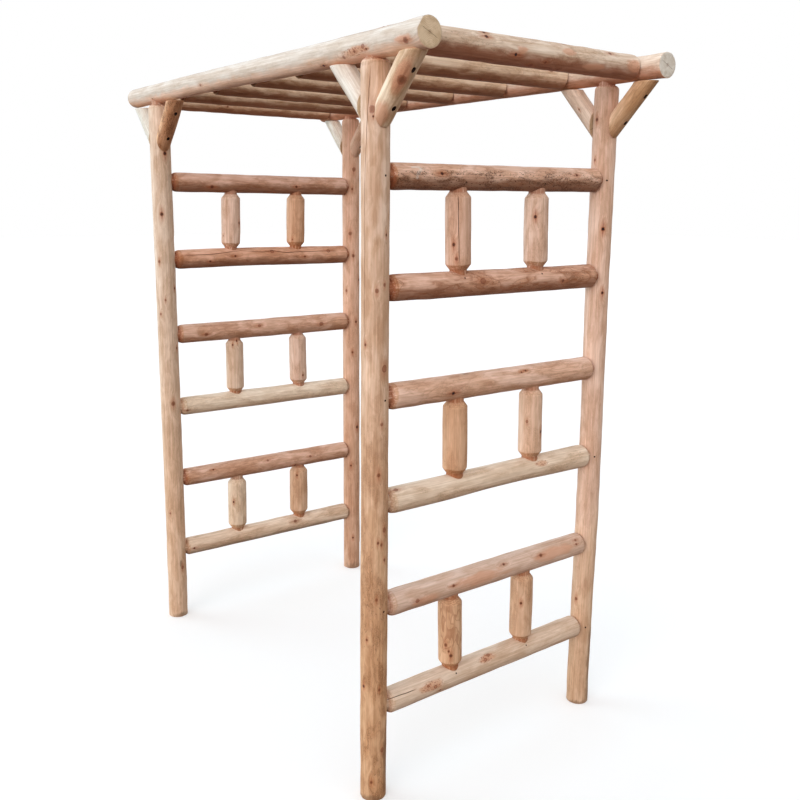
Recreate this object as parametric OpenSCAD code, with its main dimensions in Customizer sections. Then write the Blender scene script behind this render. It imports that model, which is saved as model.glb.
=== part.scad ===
// Walk-through garden arbor built from peeled round logs.
// Four posts carry two beams. Seven rafters close the roof between the beams. Each side is a
// ladder of six rails with short spindles between every other pair, and two braces steady each
// post against its beam. +Z is up, X runs along the beams and Y runs through the walkway. The
// origin is on the ground, in the middle of the four posts.

/* [Frame] */
// Distance between the post axes, across the walkway
span_w = 1425; // [1100:1:1700]
// Distance between the axes of the front and back posts
span_d = 867; // [700:1:1200]
// Height of the beam axes above the ground
beam_z = 2090; // [2070:1:2300]

/* [Logs] */
// Diameter of the posts at the ground
post_foot_d = 78; // [70:1:90]
// Diameter of the posts under the beams
post_top_d = 77; // [70:1:90]
// Diameter of the beams at their cut ends
beam_end_d = 75; // [66:1:90]
// Diameter of the beams half-way along
beam_mid_d = 69; // [66:1:90]
// Diameter of the rafters
rafter_d = 74; // [60:1:90]
// Diameter of the rails
rail_d = 76; // [66:1:90]
// Diameter of the spindles
spindle_d = 76; // [60:1:90]
// Diameter of the braces
brace_d = 60; // [50:1:80]

/* [Side panels] */
// Height of the lowest rails' axes above the ground
rail_low_z = 284; // [150:1:350]
// Drop from the beams' axes to the top rails' axes
top_rail_drop = 321; // [300:1:500]
// Distance between the axes of the two spindles of a pair
spindle_gap = 299; // [180:1:420]

/* [Roof] */
// Length of beam that runs on past its outer brace
beam_past_brace = 28; // [5:1:60]
// Distance from a beam's cut ends to the axes of the outermost rafters
rafter_inset = 90; // [60:1:130]
// Shift of the whole set of rafters to the right
rafter_shift = -10; // [-20:1:20]

/* [Braces] */
// Distance from a post's axis to the far edge of its brace, under the beam
brace_reach = 193; // [180:1:240]
// Height of the far edge of a brace from where it leaves the post up to the beam's underside
brace_drop = 164; // [140:1:220]
// Diameter of the sunk holes that take the brace screws
screw_hole_d = 11; // [8:1:14]
// Depth of the sunk holes, from the underside of the brace
screw_hole_depth = 22; // [10:1:30]

/* [Joints] */
// Diameter of every round tenon
tenon_d = 50; // [36:1:56]
// Length of every round tenon
tenon_len = 40; // [25:1:50]
// Length of the rounded shoulder at the front end of a rail
rail_front_nose = 28; // [5:1:60]
// Length of the rounded shoulder at the back end of a rail
rail_back_nose = 12; // [5:1:60]
// Length of the rounded shoulder at the top of a post
post_nose = 18; // [5:1:40]
// Length of tenon left bare between a spindle's seat and its cone
spindle_neck = 4; // [0:1:20]
// Length of the cone cut at each end of a spindle
spindle_cone = 17; // [5:1:40]
// Clearance between fitted faces
fit = 0.3; // [0.2:0.05:0.4]

/* [Hidden] */
// Rails up each side, counted from the ground, with spindles between rails 1-2, 3-4 and 5-6
rail_count = 6;
pair_count = rail_count / 2;
rail_rise = (beam_z - top_rail_drop - rail_low_z) / (rail_count - 1);
rafter_count = 7;
// Flats that round off a rail's or a post's shoulder; one flat makes a plain cone
nose_steps = 5;
// How far a cutting shape runs on past the face that it cuts
overcut = 1;
$fn = 64;

post_color = [0.80, 0.64, 0.51];
beam_color = [0.88, 0.82, 0.75];
rafter_color = [0.72, 0.56, 0.43];
rail_color = [0.76, 0.62, 0.51];
spindle_color = [0.82, 0.67, 0.55];
brace_color = [0.84, 0.76, 0.64];

// Front is -Y and right is +X, for someone who stands in front of the arbor
SIDES = [[-1, "left"], [1, "right"]];
ENDS = [[-1, "front"], [1, "back"]];
PLACES = [[-1, "inner"], [1, "outer"]];
PAIRS = ["low", "middle", "top"];

function post_name(side, end) = str("post_", end[1], "_", side[1]);
function beam_name(end) = str("beam_", end[1]);
function rafter_name(i) = str("rafter_", i + 1);
function rail_name(side, i) = str("rail_", side[1], "_", i + 1);
function spindle_name(side, pair, end) = str("spindle_", side[1], "_", PAIRS[pair], "_", end[1]);
function brace_name(side, end, place) = str("brace_", end[1], "_", side[1], "_", place[1]);

// Places that several pieces share
post_x = span_w / 2;
post_y = span_d / 2;
beam_half = post_x + brace_reach + beam_past_brace;
rafter_pitch = 2 * (beam_half - rafter_inset) / (rafter_count - 1);

// Radius of a beam at the distance x from its middle
function beam_r(x) = (beam_mid_d + (beam_end_d - beam_mid_d) * abs(x) / beam_half) / 2;
// Height at which a post's shoulder meets its beam
post_seat_z = beam_z - beam_r(post_x) - fit;
// Radius of a post at the height z
function post_r(z) = (post_foot_d + (post_top_d - post_foot_d) * z / (post_seat_z - post_nose)) / 2;

function rail_z(i) = rail_low_z + rail_rise * i;
function rafter_x(i) = rafter_shift + rafter_pitch * (i - (rafter_count - 1) / 2);
// Distance from the middle of the arbor to the end of a rail's or a rafter's full body
function rail_seat_y(i) = post_y - post_r(rail_z(i)) - fit;
function rafter_seat_y(i) = post_y - beam_r(rafter_x(i)) - fit;

// Outlines of a log's end, as [radius, distance in from the seat]
function sawn_end(d) = [[0, 0], [d / 2, 0]];
function tenon_end(d, shoulder, steps, neck = 0) = concat(
    [[0, -tenon_len], [tenon_d / 2, -tenon_len]],
    [for (i = [0:steps]) [
        (tenon_d + (d - tenon_d) * sin(90 * i / steps)) / 2,
        neck + shoulder * (1 - cos(90 * i / steps))
    ]]
);
// The same outline for a log's far end, at the given distance
function far_end(outline, distance) =
    [for (i = [len(outline) - 1:-1:0]) [outline[i][0], distance - outline[i][1]]];

// Log that stands on the origin, between its two end outlines
module turned_log(outline) rotate_extrude() polygon(outline);

// Blind hole for a tenon: the log's surface is at the origin and the hole runs up from it
module mortise() translate([0, 0, -overcut]) cylinder(d = tenon_d + 2 * fit, h = tenon_len + overcut);

// Points Z towards +Y or -Y
module along_y(direction) rotate([-90 * direction, 0, 0]) children();

module post(side, end)
    color(post_color)
    translate([side[0] * post_x, end[0] * post_y, 0])
    difference() {
        turned_log(concat(
            sawn_end(post_foot_d),
            far_end(tenon_end(post_top_d, post_nose, nose_steps), post_seat_z)
        ));
        for (i = [0:rail_count - 1])
            translate([0, -end[0] * post_r(rail_z(i)), rail_z(i)])
            along_y(end[0]) mortise();
    }

module beam(end)
    color(beam_color)
    translate([0, end[0] * post_y, beam_z])
    difference() {
        translate([-beam_half, 0, 0])
        rotate([0, 90, 0])
        turned_log(concat(
            sawn_end(beam_end_d),
            [[beam_mid_d / 2, beam_half]],
            far_end(sawn_end(beam_end_d), 2 * beam_half)
        ));
        for (side = SIDES)
            translate([side[0] * post_x, 0, -beam_r(post_x)]) mortise();
        for (i = [0:rafter_count - 1])
            translate([rafter_x(i), -end[0] * beam_r(rafter_x(i)), 0])
            along_y(end[0]) mortise();
    }

// Rafters are sawn square, with a tenon left in the middle of each end
module rafter(i)
    color(rafter_color)
    translate([rafter_x(i), -rafter_seat_y(i), beam_z])
    along_y(1)
    turned_log(concat(
        tenon_end(rafter_d, 0, 1),
        far_end(tenon_end(rafter_d, 0, 1), 2 * rafter_seat_y(i))
    ));

// Spindles stand on rails 1, 3 and 5 and reach up into rails 2, 4 and 6
module rail(side, i)
    color(rail_color)
    translate([side[0] * post_x, 0, rail_z(i)])
    difference() {
        translate([0, -rail_seat_y(i), 0])
        along_y(1)
        turned_log(concat(
            tenon_end(rail_d, rail_front_nose, nose_steps),
            far_end(tenon_end(rail_d, rail_back_nose, nose_steps), 2 * rail_seat_y(i))
        ));
        for (end = ENDS)
            translate([0, end[0] * spindle_gap / 2, 0])
            rotate([i % 2 == 0 ? 180 : 0, 0, 0])
            translate([0, 0, -rail_d / 2]) mortise();
    }

module spindle(side, pair, end) {
    seat = rail_d / 2 + fit;
    length = rail_rise - 2 * seat;
    color(spindle_color)
    translate([side[0] * post_x, end[0] * spindle_gap / 2, rail_z(2 * pair) + seat])
    turned_log(concat(
        tenon_end(spindle_d, spindle_cone, 1, spindle_neck),
        far_end(tenon_end(spindle_d, spindle_cone, 1, spindle_neck), length)
    ));
}

// A slanted log, sawn upright where it meets the post and level where it meets the beam
module brace(side, end, place) {
    beam_x = post_x + (place[0] > 0 ? brace_reach : 0);
    top_z = beam_z - beam_r(beam_x) - fit;
    foot_z = top_z - brace_drop;
    face_x = post_r(foot_z) + fit;
    slope = atan2(brace_drop, brace_reach - face_x);
    // Half the length of each sawn face, and so the middle of the face
    foot_mid = brace_d / cos(slope) / 2;
    top_mid = brace_d / sin(slope) / 2;
    color(brace_color)
    translate([side[0] * post_x, end[0] * post_y, 0])
    rotate([0, 0, side[0] * place[0] > 0 ? 0 : 180])
    difference() {
        intersection() {
            translate([face_x, 0, foot_z])
            rotate([0, 90 - slope, 0])
            translate([-brace_d / 2, 0, -2 * brace_d])
            cylinder(d = brace_d, h = 2 * brace_reach + 4 * brace_d);
            translate([face_x, -brace_d, foot_z - brace_d])
            cube([2 * brace_reach, 2 * brace_d, brace_drop + brace_d]);
        }
        translate([face_x + top_mid - screw_hole_depth, 0, foot_z + foot_mid])
        rotate([0, 90, 0])
        cylinder(d = screw_hole_d, h = screw_hole_depth + brace_d);
        translate([brace_reach - top_mid, 0, top_z - foot_mid - brace_d])
        cylinder(d = screw_hole_d, h = screw_hole_depth + brace_d);
    }
}

for (end = ENDS, side = SIDES)
    post(side, end);
for (end = ENDS)
    beam(end);
for (i = [0:rafter_count - 1])
    rafter(i);
for (side = SIDES, i = [0:rail_count - 1])
    rail(side, i);
for (side = SIDES, pair = [0:pair_count - 1], end = ENDS)
    spindle(side, pair, end);
for (end = ENDS, side = SIDES, place = PLACES)
    brace(side, end, place);
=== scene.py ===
"""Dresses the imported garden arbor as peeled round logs, with their knots, drying checks, knife
flats, turned tenons, saw cuts and bored holes. Metres, in the row frame."""
import math
import random

import bpy
import numpy as np
from mathutils import Matrix, Vector


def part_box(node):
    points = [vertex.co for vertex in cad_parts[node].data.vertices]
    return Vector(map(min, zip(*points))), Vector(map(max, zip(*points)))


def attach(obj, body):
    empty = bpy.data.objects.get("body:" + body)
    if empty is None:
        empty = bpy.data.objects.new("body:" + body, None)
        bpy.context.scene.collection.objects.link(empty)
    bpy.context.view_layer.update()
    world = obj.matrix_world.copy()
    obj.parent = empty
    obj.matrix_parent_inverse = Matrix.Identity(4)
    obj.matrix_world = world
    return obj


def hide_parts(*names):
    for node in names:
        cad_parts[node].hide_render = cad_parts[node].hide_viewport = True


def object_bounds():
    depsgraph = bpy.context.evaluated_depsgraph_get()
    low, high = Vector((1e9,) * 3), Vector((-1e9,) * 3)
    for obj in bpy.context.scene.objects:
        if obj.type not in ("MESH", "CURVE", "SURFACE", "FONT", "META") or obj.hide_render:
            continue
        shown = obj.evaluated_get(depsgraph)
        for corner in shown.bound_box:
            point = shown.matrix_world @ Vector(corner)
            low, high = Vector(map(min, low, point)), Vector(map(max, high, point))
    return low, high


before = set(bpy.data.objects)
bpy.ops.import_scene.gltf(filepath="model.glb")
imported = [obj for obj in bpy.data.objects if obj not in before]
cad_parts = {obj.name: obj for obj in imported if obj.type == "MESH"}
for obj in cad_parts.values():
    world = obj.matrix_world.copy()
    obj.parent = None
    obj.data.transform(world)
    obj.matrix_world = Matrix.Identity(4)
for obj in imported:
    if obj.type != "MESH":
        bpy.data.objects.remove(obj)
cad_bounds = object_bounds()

MM = 0.001

# Joinery, as in the part: every tenon is the same, only the shoulders differ
TENON_R = 25 * MM
TENON_LEN = 40 * MM
MORTISE_R = 25.3 * MM
POST_NOSE = 18 * MM
RAIL_FRONT_NOSE = 28 * MM
RAIL_BACK_NOSE = 12 * MM
SPINDLE_NECK = 4 * MM
SPINDLE_CONE = 17 * MM
RAFTER_NECK = 3.5 * MM
SUNK_HOLE_R = 5.5 * MM
SUNK_HOLE_DEPTH = 22 * MM
PIN_R = 3.0 * MM
PIN_DEPTH = 12 * MM
PINNED_RAILS = "156"
# The pins of the front and the back posts: (the rail that each holds, degrees from the outer
# side); and how many degrees over level the pins lie in the rails under and over a spindle
POST_PINS = {"front": ((6, 10), (4, 13), (2, 12)), "back": ((6, -27), (3, -24), (1, -21))}
RAIL_PINS = (32, -22)
# Radius in mm of the part's logs where another is seated, and of a rail where a pin goes in
SEAT_R = 38
RAIL_R = 37

# How far the cutters of tenon holes and pin holes stand out of the wood, and how long those of
# the sunk screw holes are
MORTISE_BACK = 30 * MM
PIN_BACK = 12 * MM
SUNK_HOLE_REACH = 120 * MM

# How finely a log is drawn: points round it, length of a row, the worn edge of a saw cut, the
# rounding between a turned shoulder and the skin, the angle that stays a sharp edge, the angle
# kept free of other points beside a check, and the length of log to each flat of the drawknife
COLUMNS = 64
ROW = 5 * MM
ARRIS = 1.2 * MM
SOFT_EDGE = 1.8 * MM
SHARP_EDGE = math.radians(38)
CHECK_ROOM = 0.085
FLAT_EVERY = 90 * MM

# A limit that no log's radius reaches, a place that is far from every knot, and a full turn
UNCUT = 9.0
NO_KNOT = (9.0, 9.0, 0.0)
FULL_TURN = 2 * math.pi

# How far apart growth rings show on the skin, cutter marks on a shoulder, and rings on an end
SKIN_RINGS = 0.0036
CUTTER_BANDS = 3.2 * MM
END_RINGS = 3.4 * MM

X, Y, Z = Vector((1, 0, 0)), Vector((0, 1, 0)), Vector((0, 0, 1))


# ---------------------------------------------------------------- shader wires

def linear(tone):
    """A colour written as rrggbb, in linear light."""
    values = [int(tone[i:i + 2], 16) / 255 for i in (0, 2, 4)]
    return tuple(v / 12.92 if v <= 0.04045 else ((v + 0.055) / 1.055) ** 2.4 for v in values) + (1.0,)


def stain(light, warm):
    """A colour to multiply a tone by: lighter or darker, and warmer as warm rises."""
    return (light, light * (1 - 0.5 * warm), light * (1 - warm), 1.0)


class Wire:
    """The output of a node, which can be written into sums."""

    def __init__(self, finish, socket):
        self.finish, self.socket = finish, socket

    def _math(self, operation, *values):
        return self.finish.add("ShaderNodeMath", {"operation": operation}, dict(enumerate(values)))

    def __add__(self, other):
        return self._math("ADD", self, other)

    def __radd__(self, other):
        return self._math("ADD", other, self)

    def __sub__(self, other):
        return self._math("SUBTRACT", self, other)

    def __rsub__(self, other):
        return self._math("SUBTRACT", other, self)

    def __mul__(self, other):
        return self._math("MULTIPLY", self, other)

    def __rmul__(self, other):
        return self._math("MULTIPLY", other, self)

    def __truediv__(self, other):
        return self._math("DIVIDE", self, other)

    def __rtruediv__(self, other):
        return self._math("DIVIDE", other, self)

    def __abs__(self):
        return self._math("ABSOLUTE", self)

    def root(self):
        """Square root."""
        return self._math("SQRT", self)

    def part(self):
        """What is left over whole numbers."""
        return self._math("FRACT", self)

    def most(self, other):
        """The larger of the two."""
        return self._math("MAXIMUM", self, other)

    def held(self):
        """Kept between 0 and 1."""
        return self.finish.add("ShaderNodeClamp", {}, {"Value": self})

    def rise(self, low, high):
        """0 below low, 1 above high, and smooth between; it falls where low is above high."""
        ends = {"From Min": low, "From Max": high}
        if low > high:
            ends = {"From Min": high, "From Max": low, "To Min": 1.0, "To Max": 0.0}
        return self.finish.add("ShaderNodeMapRange", {"interpolation_type": "SMOOTHSTEP", "clamp": True},
                               {"Value": self, **ends})


class Finish:
    """The nodes of one material, or of the world."""

    def __init__(self, owner):
        owner.use_nodes = True
        self.owner, self.tree = owner, owner.node_tree
        self.tree.nodes.clear()

    def add(self, kind, settings=None, inputs=None, output=0):
        """Adds a node, with its settings made first, and gives back the output or outputs asked for."""
        node = self.tree.nodes.new(kind)
        for key, value in (settings or {}).items():
            setattr(node, key, value)
        for key, value in (inputs or {}).items():
            if isinstance(value, Wire):
                self.tree.links.new(value.socket, node.inputs[key])
            else:
                node.inputs[key].default_value = value
        if isinstance(output, tuple):
            return [Wire(self, node.outputs[o]) for o in output]
        return Wire(self, node.outputs[output]) if node.outputs else None

    def mix(self, share, low, high, blend="MIX"):
        """From the colour low to the colour high; inputs 6 and 7 are the colours."""
        low, high = (linear(c) if isinstance(c, str) else c for c in (low, high))
        return self.add("ShaderNodeMix", {"data_type": "RGBA", "blend_type": blend},
                        {0: share, 6: low, 7: high}, output=2)

    def noise(self, place, detail=2.0, roughness=0.5, distortion=0.0):
        return self.add("ShaderNodeTexNoise", {"noise_dimensions": "3D"},
                        {"Vector": place, "Scale": 1.0, "Detail": detail,
                         "Roughness": roughness, "Distortion": distortion})

    def attribute(self, name):
        return self.add("ShaderNodeAttribute", {"attribute_name": name}, {}, output=1)

    def parts(self, vector):
        return self.add("ShaderNodeSeparateXYZ", {}, {0: vector}, output=(0, 1, 2))

    def stretched(self, place, across, along, shift):
        """A place on the log, scaled across and along the grain."""
        return self.add("ShaderNodeVectorMath", {"operation": "MULTIPLY_ADD"},
                        {0: place, 1: (across, across, along), 2: (shift, shift * 0.7, shift * 1.3)})


# ---------------------------------------------------------------- peeled wood

class Wood:
    """How one log looks: its tone at the near and the far end as rrggbb, the tone of its sawn
    faces, and how much lies on it of each kind of mark, from 0 to 1; upper is the share of the
    rings and flecks left at the far end, turn how far along the far end's tone is reached, and cut
    how red and dark the turned near end is, partly as painted shade, and how dark the painted
    contact shade at its seats is. One side may be another tone, as (degrees, tone, share): on the
    undersides it is painted shade, and on the front beam's underside painted light. Flecks may
    keep to one side."""

    def __init__(self, tone, far=None, streaks=0.6, patches=0.6, rings=0.2, flecks=0.2,
                 side=None, fleck_side=None, upper=1.0, cut=0.8, turn=0.6, end="dcc6a6"):
        self.tone, self.far = tone, far or tone
        self.streaks, self.patches, self.rings, self.flecks = streaks, patches, rings, flecks
        self.side, self.fleck_side, self.upper = side, fleck_side, upper
        self.cut, self.turn, self.end = cut, turn, end


class PeeledWood(Finish):
    """Peeled log: fibres and streaks along the grain, ring lines where the knife cut through the
    rings, inner-bark flecks, knots, turned shoulders, sawn ends, and the insides of checks darkened as
    painted shade."""

    def __init__(self, name, look, length, seed):
        super().__init__(bpy.data.materials.new(name))
        self.look, self.length, self.shift = look, length, 3.1 * (seed % 97)
        self.place = self.attribute("log_space")
        self.across_x, self.across_y, self.along = self.parts(self.place)
        self.radius = (self.across_x * self.across_x + self.across_y * self.across_y).root()
        self.turned, self.hollow, self.sawn = self.parts(self.attribute("finish"))
        self.lay_knots()
        self.lay_grain()
        tone = self.skin()
        tone = self.mix(self.turned * self.fibre.rise(0.25, 0.5), tone, self.shoulder(tone))
        tone = self.mix(self.sawn, tone, self.saw_cut())
        tone = self.with_knots(tone)
        # Painted shade: the insides of the checks darkened
        tone = self.mix(self.hollow, tone, "3a2016")
        self.shade(tone)

    def grain(self, across, along, shift, detail=2.0, roughness=0.55, distortion=0.0):
        """Noise drawn out along the grain, which swings round the knots."""
        return self.noise(self.stretched(self.grain_place, across, along, self.shift + shift),
                          detail, roughness, distortion)

    def facing(self, degrees):
        """Cosine of the angle, round the log, from one of its sides."""
        a = math.radians(degrees)
        return (self.across_x * math.cos(a) + self.across_y * math.sin(a)) / self.radius.most(0.001)

    def lay_knots(self):
        """Distances from the nearest knot, in its own sizes: round, and drawn out along the grain."""
        aside, ahead, self.dead = self.parts(self.attribute("knot"))
        ragged = self.noise(self.stretched(self.place, 260, 200, self.shift), detail=2.0) - 0.5
        self.knot_far = (aside * aside + ahead * ahead * 0.7).root() + ragged * 0.5
        self.knot_long = (aside * aside + ahead * ahead * 0.14).root() + ragged * 0.4
        self.knot_split = abs(aside + ragged).rise(0.45, 0.1) * abs(ahead).rise(5.0, 1.0)
        swing = self.knot_long.rise(3.2, 0.6) * 0.35
        self.grain_place = self.add(
            "ShaderNodeVectorMath", {"operation": "MULTIPLY_ADD"},
            {0: self.add("ShaderNodeCombineXYZ", {}, {0: swing, 1: swing}),
             1: (0.02, 0.02, 0.0), 2: self.place})

    def lay_grain(self):
        """Noise from the fine to the broad, and the marks that are read from it."""
        self.fine = self.grain(900, 16, 0, roughness=0.6)
        self.fibre = self.grain(240, 7, 5, detail=3.0, roughness=0.6)
        self.streak = self.grain(95, 2.6, 11, detail=3.0)
        self.blotch = self.grain(46, 15, 23, detail=4.0, roughness=0.6, distortion=0.4)
        self.patch = self.grain(19, 6.5, 43, detail=2.5, roughness=0.5, distortion=0.6)
        self.way_up = (self.along / self.length + (self.patch - 0.5) * 0.5).held()
        marked = 1 - self.way_up.rise(0.2, 0.8) * (1 - self.look.upper)
        self.speck = self.grain(230, 120, 57, detail=2.5, roughness=0.65)
        # Growth rings: the knife cuts through them unevenly, so they show as drawn-out contours
        wander = self.grain(26, 7, 31, detail=1.6)
        ring = ((self.radius + wander * 0.030) / SKIN_RINGS).part()
        rim_of_cut = abs(self.patch - 0.5).rise(0.022, 0.004) * 0.8
        ring_line = (ring.rise(0.5, 0.95) * self.patch.rise(0.36, 0.52)).most(rim_of_cut)
        self.ring_line = ring_line * marked * self.look.rings
        # Inner bark: worm-like lines and specks, where the peeling left it
        kept = self.patch.rise(0.44, 0.54)
        if self.look.fleck_side is not None:
            kept = (self.facing(self.look.fleck_side) + (self.blotch - 0.5) * 0.6).rise(0.35, 0.8)
        worms = abs(self.speck - 0.5).rise(0.045, 0.012) * self.blotch.rise(0.46, 0.56)
        self.fleck = worms.most(self.speck.rise(0.60, 0.66)) * kept * marked * self.look.flecks

    def skin(self):
        """The peeled skin, from the broad to the fine."""
        look = self.look
        tone = self.mix(self.way_up.rise(0.15, look.turn), look.tone, look.far)
        # Painted light on one side, always the underside: darker as painted shade on rails, rafters, braces
        # and the back beam, lighter and warmer on the front beam
        if look.side:
            degrees, painted_shade_and_light_tone, share = look.side
            painted_shade_and_light_side = (self.facing(degrees) + (self.blotch - 0.5) * 0.9).rise(0.05, 0.75)
            tone = self.mix(painted_shade_and_light_side * share, tone, painted_shade_and_light_tone)
        for share, low, high in (
                (self.patch.rise(0.36, 0.64) * look.patches, stain(1.07, -0.05), stain(0.86, 0.24)),
                (self.blotch.rise(0.38, 0.62) * look.patches, stain(1.05, -0.02), stain(0.88, 0.13)),
                (self.streak.rise(0.36, 0.64) * look.streaks, stain(1.06, -0.02), stain(0.90, 0.10)),
                (self.fibre.rise(0.32, 0.68), stain(1.06, -0.02), stain(0.89, 0.08)),
                (self.fine.rise(0.34, 0.66), stain(1.04, -0.01), stain(0.94, 0.03))):
            tone = self.mix(1.0, tone, self.mix(share, low, high), "MULTIPLY")
        blush, knotty, pale = self.parts(self.attribute("marks"))
        # The pale channel's negative is the darkening mark, on post_front_right painted shade
        for mark, share, mark_tone in (
                (blush, 0.7, "dea080"), (knotty, 0.7, "d69c78"),
                (pale, 0.5, "ecdfd2"), (0 - pale, 0.6, "7c5a42")):
            shown = (mark + (self.blotch - 0.5) * 1.3) * mark.rise(0.0, 0.15)
            tone = self.mix(shown.rise(0.10, 0.60) * share, tone, mark_tone)
        tone = self.mix(knotty.rise(0.15, 0.4) * self.speck.rise(0.53, 0.60) * 0.7, tone, "9a4e34")
        tone = self.mix(self.ring_line * 0.6, tone, "9c5a38")
        return self.mix(self.fleck, tone, "54301e")

    def shoulder(self, skin_tone):
        """Turned shoulders: the cutter bares the redder wood under the skin, in faint bands. The near
        end is darker and redder, partly as painted shade, and the last few mm at each seat are
        darkened as painted contact shade.
        """
        band = abs((self.radius / CUTTER_BANDS + (self.blotch - 0.5) * 1.5).part() - 0.5) * 2
        self.band = self.turned * band.rise(0.6, 0.1)
        # Darker and redder near end: partly redder cut wood, partly painted shade
        near_end_red_and_shade = self.along.rise(0.08, 0.05) * self.look.cut
        cut = self.mix(1.0, skin_tone, self.mix(near_end_red_and_shade, stain(0.97, 0.06), stain(0.82, 0.36)), "MULTIPLY")
        cut = self.mix(self.band * 0.2, cut, "8c5a3c")
        # Painted contact shade: the last few mm of each shoulder, where it meets the log it is seated in
        seat = self.along.rise(0.008, 0.003).most(self.along.rise(self.length - 0.008, self.length - 0.003))
        return self.mix(seat * self.look.cut * 0.7, cut, "9a5233")

    def saw_cut(self):
        """Sawn ends: close rings round the heart."""
        self.end_ring = abs((self.radius / END_RINGS + (self.blotch - 0.5) * 1.2).part() - 0.5) * 2
        wash = self.mix(self.blotch.rise(0.35, 0.7), stain(1.06, 0.0), stain(0.82, 0.14))
        tone = self.mix(1.0, self.look.end, wash, "MULTIPLY")
        tone = self.mix(self.end_ring.rise(0.6, 0.0) * 0.4, tone, "a07a52")
        tone = self.mix(self.radius.rise(0.008, 0.002) * 0.4, tone, "8c6040")
        shake = abs(self.across_y - self.across_x * 0.45 + (self.blotch - 0.5) * 0.012).rise(0.0011, 0.0003)
        return self.mix(shake * self.radius.rise(0.030, 0.018) * 0.7, tone, "6a4530")

    def with_knots(self, tone):
        """Live knots are a soft reddish disc in a broken rim; dead ones have a near-black heart."""
        live = 1 - self.dead
        self.core = self.knot_far.rise(1.05, 0.75)
        self.rim = self.knot_far.rise(1.2, 0.95) * self.knot_far.rise(0.6, 0.8) * self.blotch.rise(0.34, 0.5)
        tone = self.mix(self.knot_long.rise(2.2, 0.5) * (0.25 + self.dead * 0.20), tone, "b8683c")
        tone = self.mix(self.knot_split * self.dead * 0.6, tone, "8a4228")
        tone = self.mix(self.core * (0.42 + self.dead * 0.38), tone, "a65a38")
        tone = self.mix(self.rim * live * 0.75, tone, "70392a")
        return self.mix(self.knot_far.rise(0.8, 0.5) * self.dead, tone, "2a150e")

    def shade(self, tone):
        """Roughness and relief, and the shader that takes them."""
        roughness = (0.76 + (self.fibre - 0.5) * 0.25 + self.turned * 0.05 + self.sawn * 0.08
                     - self.core * 0.15).held()
        height = (self.fine * 0.2 + self.fibre * 0.5 - self.ring_line * 0.4 - self.fleck * 0.5
                  + self.band * 0.3 + self.sawn * (self.end_ring * 0.4 + self.speck * 0.5) + self.rim * 0.4)
        bump = self.add("ShaderNodeBump", {}, {"Strength": 0.5, "Distance": 0.0010, "Height": height})
        shader = self.add("ShaderNodeBsdfPrincipled", {},
                          {"Base Color": tone, "Roughness": roughness, "Specular IOR Level": 0.22,
                           "Normal": bump})
        self.add("ShaderNodeOutputMaterial", {}, {"Surface": shader})


def shaded_bore_lining():
    """Inside of the bored holes and mortises: rough wood painted nearly black, as painted shade in the
    holes.
    """
    f = Finish(bpy.data.materials.new("bored_hole"))
    place = f.add("ShaderNodeTexCoord", {}, {}, output="Object")
    torn = f.noise(f.stretched(place, 400, 400, 0.0), detail=3.0, roughness=0.7)
    tone = f.mix(torn.rise(0.3, 0.7), "1c120d", "3a2418")
    bump = f.add("ShaderNodeBump", {}, {"Strength": 0.6, "Distance": 0.0006, "Height": torn})
    shader = f.add("ShaderNodeBsdfPrincipled", {},
                   {"Base Color": tone, "Roughness": 0.85 + (torn - 0.5) * 0.2,
                    "Specular IOR Level": 0.2, "Normal": bump})
    f.add("ShaderNodeOutputMaterial", {}, {"Surface": shader})
    return f.owner


# ---------------------------------------------------------------- log shapes

def curve(points, t):
    """A smooth curve through (share, value) points, at the shares t."""
    at, value = (np.array(v, float) for v in zip(*points))
    slope = np.gradient(value, at)
    i = np.clip(np.searchsorted(at, t) - 1, 0, len(at) - 2)
    step = at[i + 1] - at[i]
    u = np.clip((t - at[i]) / step, 0, 1)
    return (value[i] * (1 + 2 * u) * (1 - u) ** 2 + value[i + 1] * u * u * (3 - 2 * u)
            + step * u * (1 - u) * (slope[i] * (1 - u) - slope[i + 1] * u))


def smooth(x):
    """From 0 to 1 with soft ends, as x goes from 0 to 1."""
    x = np.clip(x, 0, 1)
    return x * x * (3 - 2 * x)


class Log:
    """Where a log lies. It runs from start to end, its side turned as near as may be to the side
    asked for, and its axis drifts off the straight line by (share, face, side) in mm. near and far
    are the rings of its ends, and the cuts are the slants of sawn ends."""

    def __init__(self, start, end, face, side, near, far, drift=None, near_cut=0.0, far_cut=0.0):
        self.start, self.length = start, (end - start).length
        self.along = (end - start).normalized()
        self.side = (side - self.along * side.dot(self.along)).normalized()
        self.face = self.along.cross(self.side)
        if self.face.dot(face) < 0:
            self.face = -self.face
        self.near, self.far, self.near_cut, self.far_cut = near, far, near_cut, far_cut
        drift = drift or [(0, 0, 0), (1, 0, 0)]
        self.face_drift = [(share, face_mm * MM) for share, face_mm, _ in drift]
        self.side_drift = [(share, side_mm * MM) for share, _, side_mm in drift]

    def middle(self, place):
        """The point of the axis at a distance from the start."""
        share = place / self.length
        return (self.start + self.along * place + self.face * float(curve(self.face_drift, share))
                + self.side * float(curve(self.side_drift, share)))


def sawn():
    """Rings of a sawn end, from the heart out: (place, limit of the radius, share of it, inset)."""
    return [(0.0, UNCUT, share, 0.0) for share in (0.2, 0.4, 0.6, 0.8)] + [
        (0.0, UNCUT, 1.0, ARRIS), (ARRIS * 0.4, UNCUT, 1.0, ARRIS * 0.3), (ARRIS, UNCUT, 1.0, 0.0)]


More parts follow.
